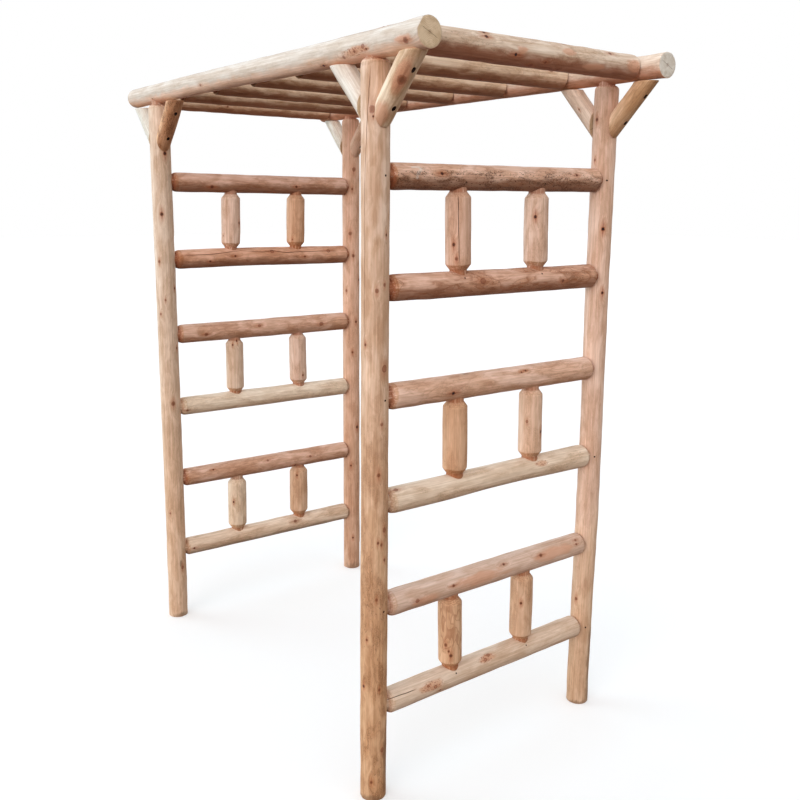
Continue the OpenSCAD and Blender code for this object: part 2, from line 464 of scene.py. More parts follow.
def tenoned(shoulder, neck=0.0, cone=False):
    """Rings of a turned tenon, its bare neck, and its rounded or cone-shaped shoulder."""
    rings = [(-TENON_LEN, TENON_R, 0.5, 0.0), (-TENON_LEN, TENON_R, 1.0, MM),
             (-TENON_LEN + MM, TENON_R, 1.0, 0.0), (-TENON_LEN / 2, TENON_R, 1.0, 0.0),
             (-4 * MM, TENON_R, 1.0, 0.0)]
    if neck > 0:
        rings.append((neck / 2, TENON_R * 0.97, 1.0, 0.0))
    rings.append((neck, TENON_R, 1.0, 0.0))
    if shoulder == 0:
        return rings + [(neck, UNCUT, 0.8, 0.0), (neck, UNCUT, 1.0, ARRIS), (neck + ARRIS, UNCUT, 1.0, 0.0)]
    steps = max(6, round(shoulder / (2 * MM)))
    for i in range(1, steps + 1):
        turn = math.pi / 2 * i / steps
        out, up = (i / steps, i / steps) if cone else (math.sin(turn), 1 - math.cos(turn))
        rings.append((neck + shoulder * up, TENON_R + (SEAT_R * MM - TENON_R) * out, 1.0, 0.0))
    return rings


def check_middle(path):
    """The direction about which a check's path swings."""
    turns = [degrees for degrees, _ in path]
    return (min(turns) + max(turns)) / 2


class Skin:
    """The skin of one log while it is shaped: a grid of radii over rows along it and columns round
    it. Lengths in the lists that shape it are in mm and directions in degrees from its face."""

    def __init__(self, log, girth, checks, seed):
        self.log, self.checks, self.rng = log, checks, random.Random(seed)
        near, far = log.near, log.far
        body_from, body_to = near[-1][0], log.length - far[-1][0]
        count = max(2, round((body_to - body_from) / ROW))
        body = [(body_from + (body_to - body_from) * i / count, UNCUT, 1.0, 0.0) for i in range(1, count)]
        self.rings = near + body + [(log.length - p, *rest) for p, *rest in reversed(far)]
        self.place, self.limit, self.share, self.inset = (np.array(v)[:, None] for v in zip(*self.rings))
        self.t = np.clip(self.place / log.length, 0, 1)
        self.mean_r = sum(r for _, r in girth) / len(girth) * MM
        self.lay_columns()
        self.r = curve([(share, r * MM) for share, r in girth], self.t) + 0 * self.turn
        self.hollow = np.zeros_like(self.r)

    def apart(self, degrees):
        """Angle of each column from a direction, between minus and plus half a turn."""
        return (self.turn - math.radians(degrees) + math.pi) % FULL_TURN - math.pi

    def lay_columns(self):
        """Columns stand closer together at the checks, and follow them as they wander."""
        angles = [FULL_TURN * i / COLUMNS for i in range(COLUMNS)]
        for width, _, path in self.checks:
            middle = math.radians(check_middle(path)) % FULL_TURN
            lips = [k * (width / 2 * MM) / self.mean_r for k in (-2.6, -1, 0, 1, 2.6)]
            angles = [a for a in angles if min(abs(a - middle), FULL_TURN - abs(a - middle)) > CHECK_ROOM]
            angles += [(middle + lip) % FULL_TURN for lip in lips]
        self.turn = np.array(sorted(angles))[None, :]
        self.angle = self.turn + 0 * self.place
        for width, _, path in self.checks:
            phase = self.rng.uniform(0, 6)
            turns, spots = zip(*sorted(path, key=lambda p: p[1]))
            middle = check_middle(path)
            lean = np.radians(np.interp(self.place, [v * MM for v in spots], turns) - middle)
            quiver = np.sin(self.place / 0.021 + phase) + np.sin(self.place / 0.0077 + phase * 2)
            lean = lean + 0.35 * MM / self.mean_r * quiver
            self.angle = self.angle + lean * np.exp(-(self.apart(middle) / 0.9) ** 2)

    def weather(self):
        """Out of round, with long soft ripples."""
        rng = self.rng
        oval = np.cos(2 * (self.turn - rng.uniform(0, 6)) + self.place * rng.uniform(-2, 2))
        self.r = self.r + rng.uniform(0.2, 0.5) * MM * oval
        for _ in range(9):
            wave, lobes = rng.uniform(0.06, 0.35), rng.choice((0, 1, 1, 2, 3))
            height = rng.uniform(0.06, 0.20) * MM
            phase = rng.uniform(0, 6)
            self.r = self.r + height * np.sin(FULL_TURN * self.place / wave + lobes * self.turn + phase)

    def shave(self, count):
        """Flats that the drawknife left, each fading in and ending more abruptly."""
        rng = self.rng
        for _ in range(count):
            off = self.apart(rng.uniform(0, 360))
            middle, half = rng.uniform(0, self.log.length), rng.uniform(0.03, 0.14)
            plane = (self.r.mean() - rng.uniform(0.4, 1.5) * MM) / np.cos(np.clip(off, -1, 1))
            way = (self.place - middle) / half * rng.choice((-1, 1))
            window = smooth(1.2 + way) * smooth((1 - way) * 4)
            self.r = self.r - window * np.clip(self.r - plane, 0, None) * (np.abs(off) < 1)

    def swell(self, knots):
        """Knots stand a little proud, shaved level, with a dip in the dead ones."""
        for degrees, spot, size, dead in knots:
            aside = self.apart(degrees) * self.mean_r / (size * MM)
            ahead = (self.place - spot * MM) / (size * MM)
            self.r = self.r + min(size * 0.10, 1.1) * MM * np.exp(-(aside ** 2 + (ahead * 0.7) ** 2) / 2.3)
            if dead > 0.5:
                self.r = self.r - min(size * 0.16, 1.2) * MM * np.exp(-(aside ** 2 + ahead ** 2) / 0.36)

    def turn_ends(self):
        """Cuts the tenons and shoulders to their limits, softly where they meet the skin."""
        self.turned = (self.limit < self.r - 0.05 * MM).astype(float)
        uncut = np.clip(0.5 + 0.5 * (self.limit - self.r) / SOFT_EDGE, 0, 1)
        self.r = self.limit * (1 - uncut) + self.r * uncut - SOFT_EDGE * uncut * (1 - uncut)

    def split(self):
        """Checks: narrow grooves that fade out at both ends, with a mask of their insides that the shader
        darkens as painted shade.
        """
        for width, depth, path in self.checks:
            spots = [spot * MM for _, spot in path]
            begin, end = min(spots), max(spots)
            run = (smooth(6 * (self.place - begin) / (end - begin))
                   * smooth(6 * (end - self.place) / (end - begin)))
            off = np.abs(self.apart(check_middle(path))) * self.mean_r
            gape = np.clip(1 - off / (width / 2 * MM), 0, 1)
            self.r = self.r - depth * MM * run * gape
            self.hollow = np.maximum(self.hollow, run * smooth(gape * 1.6))

    def lay_out(self):
        """Places on the log and in the row frame of every point of the grid."""
        log, radius = self.log, self.r * self.share - self.inset
        x, y = radius * np.cos(self.angle), radius * np.sin(self.angle)
        self.s = self.place + log.near_cut * y * (1 - self.t) + log.far_cut * y * self.t
        face, side = (curve(drift, self.t) for drift in (log.face_drift, log.side_drift))
        axes = np.array([log.face, log.side, log.along])
        points = np.array(log.start) + np.stack([x + face, y + side, self.s], axis=-1) @ axes
        points = np.clip(points, np.array(cad_bounds[0]), np.array(cad_bounds[1]))
        return points, np.stack([x, y, self.s], axis=-1)

    def saw_faces(self):
        """Which bands of faces, from each row to the next, are the flat of a sawn end."""
        flat = np.array([share < 1 or inset > 0.9 * ARRIS for _, _, share, inset in self.rings])
        return flat[:-1] & flat[1:]


def grid_mesh(name, points, mirrored):
    """A closed mesh over a grid of points, with a fan of triangles at each end. Gives back the
    mesh, and the point and the face of every corner."""
    rows, columns = points.shape[:2]
    ids = np.arange(rows * columns).reshape(rows, columns)
    beside = np.roll(ids, -1, axis=1)
    quads = np.stack([ids[:-1], beside[:-1], beside[1:], ids[1:]], axis=-1).reshape(-1, 4)
    first, last = rows * columns, rows * columns + 1
    fans = np.concatenate([np.stack([np.full(columns, first), beside[0], ids[0]], axis=-1),
                           np.stack([np.full(columns, last), ids[-1], beside[-1]], axis=-1)])
    if mirrored:
        quads, fans = quads[:, ::-1], fans[:, ::-1]
    vertices = np.concatenate([points.reshape(-1, 3), [points[0].mean(0)], [points[-1].mean(0)]])
    corners = np.concatenate([quads.ravel(), fans.ravel()]).astype(np.int32)
    sizes = np.concatenate([np.full(len(quads), 4), np.full(len(fans), 3)])
    starts = (np.cumsum(sizes) - sizes).astype(np.int32)
    mesh = bpy.data.meshes.new(name)
    mesh.vertices.add(len(vertices))
    mesh.vertices.foreach_set("co", vertices.astype(np.float32).ravel())
    mesh.loops.add(len(corners))
    mesh.loops.foreach_set("vertex_index", corners)
    mesh.polygons.add(len(starts))
    mesh.polygons.foreach_set("loop_start", starts)
    mesh.update(calc_edges=True)
    mesh.polygons.foreach_set("use_smooth", np.ones(len(starts), bool))
    return mesh, corners, np.repeat(np.arange(len(sizes)), sizes)


def at_corners(values, corners):
    """The grid's values at each corner, with the two hearts of the ends taken from their rings."""
    ends = [values[0].mean(0), values[-1].mean(0)]
    return np.concatenate([values.reshape(-1, *values.shape[2:]), ends])[corners]


def write_vectors(mesh, name, values):
    """Stores three values at each corner, for the shader to read by name."""
    layer = mesh.attributes.new(name, "FLOAT_VECTOR", "CORNER")
    layer.data.foreach_set("vector", values.astype(np.float32).ravel())


def nearest_knot(skin, knots, turns, places, face_of_corner, off_skin):
    """At each corner: the offset from the knot nearest to its face, in that knot's sizes, and
    whether the knot is dead. A face never reads two knots."""
    spot = np.tile(NO_KNOT, (len(turns), 1))
    if not knots:
        return spot
    count = np.bincount(face_of_corner)
    means = [np.bincount(face_of_corner, v) / count for v in (np.cos(turns), np.sin(turns), places)]
    face_turn, face_place = np.arctan2(means[1], means[0]), means[2]

    def offset(knot, turn, place):
        degrees, at, size, _ = knot
        aside = ((turn - np.radians(degrees) + math.pi) % FULL_TURN - math.pi) * skin.mean_r / (size * MM)
        return aside, (place - at * MM) / (size * MM)

    offsets = [offset(knot, face_turn, face_place) for knot in knots]
    distances = [np.hypot(aside, ahead * 0.5) for aside, ahead in offsets]
    table = np.array(knots)[np.argmin(distances, axis=0)][face_of_corner]
    spot[:, 0], spot[:, 1] = offset(table.T, turns, places)
    spot[:, 2] = table[:, 3]
    spot[off_skin] = NO_KNOT
    return spot


# The channel and the sign of each kind of painted mark. The darkening kind is painted shade on
# the shaded right side of post_front_right near its foot; elsewhere it is dirt on post_back_right's
# right side, small darker spots, and a darker very foot of each post.
MARKS = {"blush": (0, 1), "knotty": (1, 1), "pale": (2, 1), "dirt_and_shade": (2, -1)}


def trail(kind, points):
    """A painted line through (degrees, place) points, as small overlapping spots."""
    spots = []
    for (turn, place), (next_turn, next_place) in zip(points, points[1:]):
        for share in (0, 0.25, 0.5, 0.75):
            here = turn + (next_turn - turn) * share
            spots.append((kind, here, 9, place + (next_place - place) * share, 6))
    return spots


def painted(skin, marks):
    """Soft spots painted one by one, (kind, degrees, half degrees, place, half length) each."""
    paint = np.zeros((*skin.r.shape, 3))
    for kind, degrees, half_turn, spot, half_length in marks:
        far = np.hypot(skin.apart(degrees) / math.radians(half_turn),
                       (skin.place - spot * MM) / (half_length * MM))
        channel, sign = MARKS[kind]
        spot_paint, under = sign * np.clip(1 - far, 0, 1), paint[..., channel]
        paint[..., channel] = np.where(np.abs(spot_paint) > np.abs(under), spot_paint, under)
    return paint


def build_log(name, log, girth, seed, knots, checks, marks, flats):
    """Makes the mesh of one log. girth is [(share, radius)], a knot (degrees, place, size, dead), a
    check (width, depth, path) with its path [(degrees, place)] from one tip to the other."""
    skin = Skin(log, girth, checks, seed)
    skin.weather()
    skin.shave(flats)
    skin.swell(knots)
    skin.turn_ends()
    skin.split()
    points, wood_places = skin.lay_out()
    mirrored = log.face.cross(log.side).dot(log.along) < 0
    mesh, corners, face_of_corner = grid_mesh(name, points, mirrored)

    columns = points.shape[1]
    bands = np.repeat(skin.saw_faces(), columns)
    face_sawn = np.concatenate([bands, np.ones(2 * columns, bool)])[face_of_corner]
    finish = np.stack([skin.turned + 0 * skin.r, skin.hollow, 0 * skin.r], axis=-1)
    finish = at_corners(finish, corners)
    finish[:, 2] = face_sawn
    finish[:, 0] *= 1 - finish[:, 2]
    round_places = np.stack([skin.angle + 0 * skin.r, skin.s + 0 * skin.r], axis=-1)
    turns, places = at_corners(round_places, corners).T

    write_vectors(mesh, "log_space", at_corners(wood_places, corners))
    write_vectors(mesh, "finish", finish)
    write_vectors(mesh, "knot", nearest_knot(skin, knots, turns, places, face_of_corner, face_sawn))
    write_vectors(mesh, "marks", at_corners(painted(skin, marks), corners))
    mesh.set_sharp_from_angle(angle=SHARP_EDGE)
    piece = bpy.data.objects.new(name, mesh)
    bpy.context.scene.collection.objects.link(piece)
    return piece


def rods(bores):
    """Vertices and faces of a closed rod for each bore (from, to, radius)."""
    vertices, faces = [], []
    for begin, end, radius in bores:
        sides = 32 if radius > 0.01 else 20
        axis = (end - begin).normalized()
        across = axis.orthogonal().normalized()
        other = axis.cross(across)
        base = len(vertices)
        turns = [FULL_TURN * (i + 0.5) / sides for i in range(sides)]
        for middle in (begin, end):
            vertices += [middle + (across * math.cos(a) + other * math.sin(a)) * radius for a in turns]
        faces += [(base + i, base + (i + 1) % sides, base + sides + (i + 1) % sides, base + sides + i)
                  for i in range(sides)]
        faces += [tuple(base + i for i in reversed(range(sides))),
                  tuple(base + sides + i for i in range(sides))]
    return vertices, faces


def bore_out(piece, bores, hole_finish):
    """Cuts round holes out of a log, lined with the finish of bored holes."""
    vertices, faces = rods(bores)
    mesh = bpy.data.meshes.new("cutter")
    mesh.from_pydata(vertices, [], faces)
    mesh.materials.append(None)
    mesh.materials.append(hole_finish)
    mesh.polygons.foreach_set("material_index", [1] * len(faces))
    cutter = bpy.data.objects.new("cutter", mesh)
    bpy.context.scene.collection.objects.link(cutter)
    change = piece.modifiers.new("bores", "BOOLEAN")
    change.operation, change.solver, change.object = "DIFFERENCE", "EXACT", cutter
    change.material_mode = "INDEX"
    bpy.context.view_layer.update()
    made = bpy.data.meshes.new_from_object(piece.evaluated_get(bpy.context.evaluated_depsgraph_get()))
    piece.modifiers.clear()
    old, piece.data = piece.data, made
    made.name = piece.name
    bpy.data.meshes.remove(old)
    bpy.data.objects.remove(cutter)
    bpy.data.meshes.remove(mesh)


# ---------------------------------------------------------------- looks of the logs

MILK, BLUSH, SAND = "d2c0b2", "e2bda8", "debea6"
PEACH, ROSE, TAN, CLAY = "e4bca2", "e8bda6", "d8ad8e", "e1b39b"

# Each log: its look, its girth [(share, radius)], how its axis drifts [(share, face, side)], its
# knots (degrees, place, size, how dead), its checks (width, depth, path) and its painted marks
POSTS = {
    "post_front_right": dict(
        look=Wood("d6a680", "e2bfa8", streaks=0.8, patches=0.9, rings=0.35, flecks=0.5, upper=0.1,
                  turn=0.85), girth=[(0, 37.1), (0.17, 38.2), (0.32, 38.2), (0.5, 37.4), (1, 37.8)],
        drift=[(0, 0.5, 0.5), (0.5, 1.5, 2), (1, 1.5, 2)],
        knots=[(-49, 1925, 8, 0.3), (-44, 1908, 3, 0.9), (-18, 979, 6, 0.5), (8, 1268, 8, 0.2),
               (-28, 1474, 5, 0.4), (-5, 1118, 5, 0.3), (12, 821, 6, 0.3), (-3, 780, 4, 0.4),
               (-19, 787, 4, 0.6), (-24, 622, 4, 0.4), (-66, 501, 4, 0.6), (13, 734, 4, 0.5),
               (-10, 350, 4, 0.5), (7, 159, 6, 0.3), (-43, 61, 5, 0.5), (-82, 357, 5, 0.8),
               (6, 1489, 4, 0.4), (16, 1616, 4, 0.8), (-77, 1332, 4, 0.7)],
        # Its first mark is painted shade on the shaded right side near the foot; the second darkens the very
        # foot
        marks=[("dirt_and_shade", 40, 40, 130, 160), ("dirt_and_shade", -40, 90, 0, 25)],
        checks=[(1.5, 9, [(-50, 2046), (-57, 2000), (-62, 1959), (-70, 1878), (-76, 1815), (-81, 1740),
                          (-83, 1300)])]),
    "post_front_left": dict(
        look=Wood("e3bb9d", "e3c6b0", flecks=0.1, turn=0.7), girth=[(0, 37.8), (0.5, 38.4), (1, 37.8)],
        drift=[(0, -1, -1), (0.2, 0.5, 1), (0.5, 1, 1.5), (1, 1, 1.5)],
        knots=[(-29, 1648, 8, 0.8), (3, 1873, 8, 0.9), (-55, 1468, 5, 0.5), (34, 1364, 5, 0.9),
               (-60, 1265, 4, 0.3), (33, 1128, 5, 0.8), (-7, 908, 8, 0.5), (-52, 452, 4, 0.4),
               (-28, 1320, 4, 0.4), (14, 214, 6, 0.3)],
        marks=[("dirt_and_shade", 4, 12, 232, 20), ("dirt_and_shade", 0, 80, 0, 25)],
        checks=[(1.6, 8, [(-86, 2046), (-93, 1860)])]),
    "post_back_right": dict(
        look=Wood("dab192", "e4bda7", flecks=0.1, turn=0.4),
        girth=[(0, 36.6), (0.18, 36.2), (0.355, 37.3), (0.49, 36), (0.68, 36.6), (1, 36.7)],
        drift=[(0, 0, 0), (0.08, 0, 0), (0.2, 1, 1), (0.35, 2.5, 3), (0.5, 2, 2.5), (0.65, 0.5, 0.5),
               (1, 1, 0.5)],
        knots=[(-94, 1953, 6, 0.7), (-34, 1622, 7, 1.0), (-21, 1423, 6, 0.9), (-81, 385, 6, 0.5),
               (-94, 1832, 4, 0.7)], marks=[("dirt_and_shade", 28, 42, 150, 230), ("dirt_and_shade", -40, 90, 0, 20)]),
    "post_back_left": dict(
        look=Wood("d5a588", "e1b399"), girth=[(0, 37.6), (0.45, 37.4), (0.8, 37), (1, 37.6)],
        drift=[(0, 0, 0), (0.5, -0.5, -0.5), (1, -0.5, -0.5)],
        knots=[(-12, 1838, 8, 0.4), (-39, 1563, 8, 0.4), (-17, 1466, 7, 0.6), (-24, 1755, 5, 0.6),
               (-68, 1311, 5, 0.4), (33, 1358, 6, 0.9), (1, 1172, 6, 0.8), (-25, 1034, 5, 0.6),
               (10, 685, 8, 0.9), (-38, 504, 5, 0.8), (-25, 153, 5, 0.8)],
        marks=[("dirt_and_shade", -20, 80, 0, 45)]),
}
BEAMS = {
    "beam_front": dict(
        # Its side tone makes the underside lighter and warmer, as painted light
        look=Wood(MILK, streaks=0.5, patches=0.4, rings=0.1, flecks=0.1, end="e6c8a8",
                  side=(-94, "f4c4a6", 0.8)), ends=(3, -6.5),
        drift=[(0, 0, 0), (0.5, 0, 1.5), (0.65, 0, -1), (1, 0, 0)],
        girth=[(0, 35), (0.3, 34.5), (0.5, 34), (0.65, 35), (0.9, 36), (1, 36.8)],
        knots=[(-38, 1549, 5, 0.3), (-12, 1645, 5, 0.2), (-25, 1656, 3, 1.0), (-24, 1604, 4, 0.5),
               (-26, 1818, 8, 0.5), (-56, 1437, 5, 1.0), (-25, 675, 4, 0.3), (-40, 236, 3, 0.8)],
        marks=[("knotty", -24, 26, 1605, 75), ("blush", -68, 34, 1560, 260), ("blush", -20, 25, 1805, 50),
               ("blush", -66, 34, 220, 210)]),
    "beam_back": dict(
        # Its side tone darkens the underside, as painted shade
        look=Wood("e8d0be", end="ece0d4", side=(-84, "da906a", 0.7)), ends=(0, 1.5),
        girth=[(0, 37), (0.5, 34.5), (0.8, 35.5), (0.94, 35), (0.965, 34.8), (1, 37.3)],
        knots=[(3, 1648, 5, 0.5)]),
}
# The rafters' side tone darkens their undersides, as painted shade
RAFTER_WOOD = Wood("f0d0b4", streaks=1.0, rings=0.3, flecks=0.2, side=(-94, "a0684a", 0.85))
RAFTERS = {f"rafter_{i}": dict(look=RAFTER_WOOD) for i in range(1, 6)}
RAFTERS["rafter_1"]["knots"] = [(25, 568, 5, 0.6), (45, 772, 5, 0.6), (-20, 300, 4, 0.5)]
RAFTERS["rafter_2"]["knots"] = [(49, 407, 5, 0.7)]
RAFTERS["rafter_6"] = dict(look=RAFTER_WOOD, knots=[(-77, 611, 5, 0.5), (-73, 446, 5, 0.4)])
RAFTERS["rafter_7"] = dict(
    # Its side tone darkens the underside, as painted shade
    look=Wood("e2c6b0", streaks=1.0, rings=0.3, flecks=0.3, side=(-80, "a8664a", 0.85)),
    knots=[(-23, 297, 6, 1.0), (-63, 367, 6, 0.4), (-73, 472, 5, 0.5), (44, 667, 6, 0.6),
           (-38, 410, 4, 0.5)],
    marks=[("blush", 0, 22, 318, 28), ("blush", 20, 25, 494, 35), ("blush", 0, 40, 766, 45),
           ("blush", -30, 25, 600, 60)])
# The side tones of the rails darken their undersides, as painted shade
RAILS = {
    "rail_right_1": dict(
        look=Wood(SAND, flecks=0.05, rings=0.1, cut=0.2), girth=[(0, 36), (0.5, 36), (1, 36)], ends=(-4, 1),
        drift=[(0, 0, 0), (0.2, 0, 1.4), (0.4, 0, 1.5), (0.6, 0, 1), (1, 0, 0)],
        knots=[(10, 160, 5, 0.1), (25, 135, 4, 0.2), (40, 365, 5, 0.1), (56, 382, 5, 0.2),
               (-19, 179, 3, 0.9)], marks=[("knotty", 22, 34, 150, 62), ("knotty", 48, 26, 372, 44)],
        checks=[(2.2, 8, [(41, -26), (37, 30), (33, 95)])]),
    "rail_right_2": dict(
        look=Wood("dab5a0", flecks=0.05, rings=0.1, cut=0.3), girth=[(0, 36.8), (0.5, 36.7), (1, 37)],
        ends=(0.5, 2),
        knots=[(1, 86, 6, 0.3), (16, 221, 5, 0.6), (40, 427, 5, 0.7), (28, 583, 6, 0.6), (47, 750, 4, 0.4),
               (26, 747, 4, 0.5)],
        marks=[("blush", 10, 45, 330, 150), ("blush", 20, 40, 640, 130), ("blush", -10, 30, 120, 70)]),
    "rail_right_3": dict(
        look=Wood("e5c7ae", flecks=0.3, rings=0.1, cut=0.2),
        girth=[(0, 36.8), (0.3, 36.4), (0.55, 34.6), (0.8, 36.4), (1, 37.6)], ends=(8, 8),
        drift=[(0, 0, 0), (0.25, 0, 0), (0.5, 0, 3), (0.7, 0, 2.5), (1, 0, 0)], knots=[(66, 22, 6, 0.3)],
        marks=[("knotty", 30, 22, 575, 38)]),
    "rail_right_4": dict(
        look=Wood(ROSE, patches=0.8, rings=0.35), girth=[(0, 36.8), (0.5, 36.6), (1, 37.6)],
        ends=(6.7, 4.3), marks=[("knotty", 44, 12, 482, 26), ("dirt_and_shade", 84, 16, 272, 22)],
        knots=[(-13, 206, 7, 1.0), (44, 494, 4, 0.8), (37, 475, 3, 0.8)]),
    "rail_right_5": dict(
        look=Wood("e0b098", patches=1.0, streaks=0.9, rings=0.9, flecks=0.5, side=(-70, "8c5438", 0.6)),
        girth=[(0, 36.7), (0.5, 36.4), (1, 36.6)], ends=(3, 3),
        knots=[(13, 308, 8, 0.2), (-9, 631, 6, 0.6), (82, 25, 5, 0.5)]),
    "rail_right_6": dict(
        look=Wood(ROSE, patches=0.8, rings=0.5, flecks=1.0, side=(-70, "7c4c30", 0.75), fleck_side=-22),
        girth=[(0, 35.3), (0.5, 35.4), (1, 36)], ends=(-4, 1.3),
        knots=[(14, 153, 6, 0.9), (22, 674, 5, 0.8)],
        marks=trail("pale", [(41, 58), (43, 80), (30, 86), (18, 76), (8, 72), (-12, 70)])),
    "rail_left_1": dict(
        look=Wood("e9c8ae", rings=0.3, cut=0.3, side=(-88, "a08872", 0.3)), girth=[(0, 35), (1, 35.6)],
        ends=(2.6, -4), knots=[(-3, 24, 5, 0.8), (28, 505, 7, 0.5)]),
    "rail_left_2": dict(
        look=Wood(CLAY, patches=0.9, rings=0.4, side=(-86, "8c6048", 0.3)), ends=(5, -4.5),
        girth=[(0, 36), (0.2, 36.6), (1, 36.8)],
        knots=[(34, 120, 4, 0.9), (33, 373, 5, 0.4), (-38, 509, 6, 0.9), (12, 582, 5, 0.3)]),
    "rail_left_3": dict(
        look=Wood("efd5bd", patches=0.5, cut=0.3), ends=(6, -0.8),
        girth=[(0, 36.3), (0.4, 37.4), (0.6, 37), (1, 37.4)], knots=[(-19, 15, 5, 0.5)]),
    "rail_left_4": dict(
        look=Wood(CLAY, patches=0.9, rings=0.5, side=(-86, "8c6048", 0.3)), ends=(2.5, -0.3),
        girth=[(0, 36.5), (0.5, 37.4), (1, 38)],
        knots=[(-7, 106, 7, 0.5), (21, 345, 6, 0.3), (1, 645, 8, 0.3)]),
    "rail_left_5": dict(
        look=Wood("e2ac90", patches=0.9, rings=0.4, side=(-80, "70422c", 0.6)),
        girth=[(0, 37.4), (0.5, 37.4), (1, 37.6)],
        knots=[(10, 243, 5, 0.8), (-17, 134, 5, 0.8), (-4, 567, 5, 0.7), (33, 413, 7, 0.1),
               (29, 686, 7, 0.1)],
        checks=[(3.0, 6, [(28, -10), (25, 136), (46, 272), (31, 372), (38, 421), (24, 474), (27, 547),
                          (30, 646), (25, 770)])],
        drift=[(0, 0, 0.5), (0.3, 0, 2.8), (0.55, 0, 2.4), (0.8, 0, 0.5), (1, 0, 0)]),
    "rail_left_6": dict(
        look=Wood("e0b29c", patches=0.9, rings=0.4, side=(-72, "86563a", 0.65)),
        knots=[(-24, 152, 8, 0.7), (-11, 531, 6, 0.8), (-70, 430, 6, 0.9)],
        girth=[(0, 36.8), (0.5, 36.4), (1, 37)], ends=(0, -3.5)),
}
SPINDLES = {
    "spindle_right_low_front": dict(
        look=Wood("d8a884", patches=0.4, rings=0.8, flecks=0.1), girth=36.2,
        knots=[(-60, 80, 5, 0.5), (-35, 46, 6, 0.7), (-45, 60, 4, 0.6)], slide=(0, -6)),
    "spindle_right_low_back": dict(look=Wood(TAN), knots=[(-45, 134, 5, 0.8)], girth=36, slide=(-4.5, -7)),
    "spindle_right_middle_front": dict(look=Wood("d4a482"), girth=36.2, slide=(2, 0)),
    "spindle_right_middle_back": dict(
        look=Wood(PEACH), knots=[(22, 84, 6, 1.0), (-60, 120, 4, 0.2)],
        girth=[(0, 36.6), (0.5, 36.2), (1, 35.5)], slide=(7, 3)),
    "spindle_right_top_front": dict(
        look=Wood("d8ac94"), knots=[(-60, 75, 6, 0.8), (-48, 36, 5, 0.5)], girth=36,
        checks=[(1.8, 8, [(-41, 215), (-37, 110), (-35, 15)])], slide=(1, -4.5)),
    "spindle_right_top_back": dict(look=Wood(BLUSH), knots=[(-49, 149, 6, 0.9)], girth=36, slide=(3, -1)),
    "spindle_left_low_front": dict(
        look=Wood("eccfb5"), knots=[(-49, 126, 5, 0.9)], girth=38.8, slide=(-4.5, -2)),
    "spindle_left_low_back": dict(look=Wood(TAN), knots=[(-40, 190, 5, 0.8)], girth=39.4, slide=(-1, 0)),
    "spindle_left_middle_front": dict(
        look=Wood("dab89f"), knots=[(-5, 216, 5, 0.8), (-37, 200, 4, 0.8)], girth=35.5, slide=(2, 3)),
    "spindle_left_middle_back": dict(look=Wood(BLUSH), knots=[(3, 40, 5, 0.7)], girth=37.2, slide=(6, 2.5)),
    "spindle_left_top_front": dict(
        look=Wood(BLUSH), knots=[(33, 101, 6, 0.9), (-80, 48, 3, 0.8)], girth=37.8, slide=(-1.5, 4.5)),
    "spindle_left_top_back": dict(
        look=Wood("d6a686"), knots=[(-50, 30, 4, 0.4)], girth=37.8, slide=(0, 4.5)),
}
# reach and drop: how many mm further out and further down than in the part a brace is set
BRACES = {
    # The side tones at 80 degrees darken the braces' undersides, as painted shade
    "brace_front_right_outer": dict(
        look=Wood("e6c8ac", patches=0.9), girth=30.6, reach=7, drop=9, knots=[(58, 108, 11, 0.5)],
        marks=[("blush", 50, 50, 110, 60), ("blush", 40, 60, 20, 40)]),
    "brace_front_right_inner": dict(
        look=Wood("dccbbc", patches=0.2, flecks=0.0), girth=29.8, reach=1, drop=-6),
    "brace_front_left_outer": dict(
        look=Wood("d6cabc", patches=0.2, flecks=0.0), girth=29.8, reach=4, drop=3),
    "brace_front_left_inner": dict(
        look=Wood("f0c4a0", patches=1.0, flecks=0.8, side=(80, "a86c48", 0.6)), girth=30.3, reach=8,
        drop=9),
    "brace_back_right_outer": dict(
        look=Wood("f0c6a4", "e8ba94", patches=0.8, side=(80, "b08458", 0.5)), girth=29.4, reach=-3,
        drop=-9),
    "brace_back_right_inner": dict(
        look=Wood("e6c8b2", patches=0.3), girth=29, knots=[(0, 67, 3, 1.0)], reach=-11, drop=-8),
    "brace_back_left_outer": dict(look=Wood("eadccc", patches=0.3), girth=29.8),
    "brace_back_left_inner": dict(look=Wood("e0b8a0"), girth=29.8),
}
LOOKS = {**BEAMS, **POSTS, **RAFTERS, **RAILS, **SPINDLES, **BRACES}


# ---------------------------------------------------------------- where the logs lie

logs = {}
bores = {node: [] for node in LOOKS}
# Each log has its own seed, from its place in the list of the part's nodes
seed_of = {node: i * 17 + 5 for i, node in enumerate(sorted(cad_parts))}


def middle_of(node):
    """The middle of a node's box."""
    low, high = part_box(node)
    return (low + high) / 2


def strayed(node, at):
    """How far a log's axis has strayed from where the part has it, at a point along it."""
    log = logs[node]
    place = (at - log.start).dot(log.along)
    off = log.middle(place) - middle_of(node)
    return off - log.along * off.dot(log.along)


def own_girth(node):
    """The girth that a log is given, or one of its own."""
    rng = random.Random(seed_of[node])
    girth = LOOKS[node].get("girth", rng.uniform(35.4, 36.8))
    if isinstance(girth, list):
        return girth
    return [(0, girth - rng.uniform(0, 0.6)), (0.5, girth), (1, girth - rng.uniform(0, 0.6))]


def seated(host, at, way):
    """A seat set on the host's own surface, which lies a little within the part's."""
    log = logs[host]
    share = (at - log.start).dot(log.along) / log.length
    return at + strayed(host, at) + way * (SEAT_R - float(curve(own_girth(host), share))) * MM


def lay_beam(node, ends, drift):
    low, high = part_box(node)
    middle = middle_of(node)
    start = Vector((low.x, middle.y, middle.z + ends[0] * MM))
    end = Vector((high.x, middle.y, middle.z + ends[1] * MM))
    logs[node] = Log(start, end, -Y, Z, sawn(), sawn(), drift)


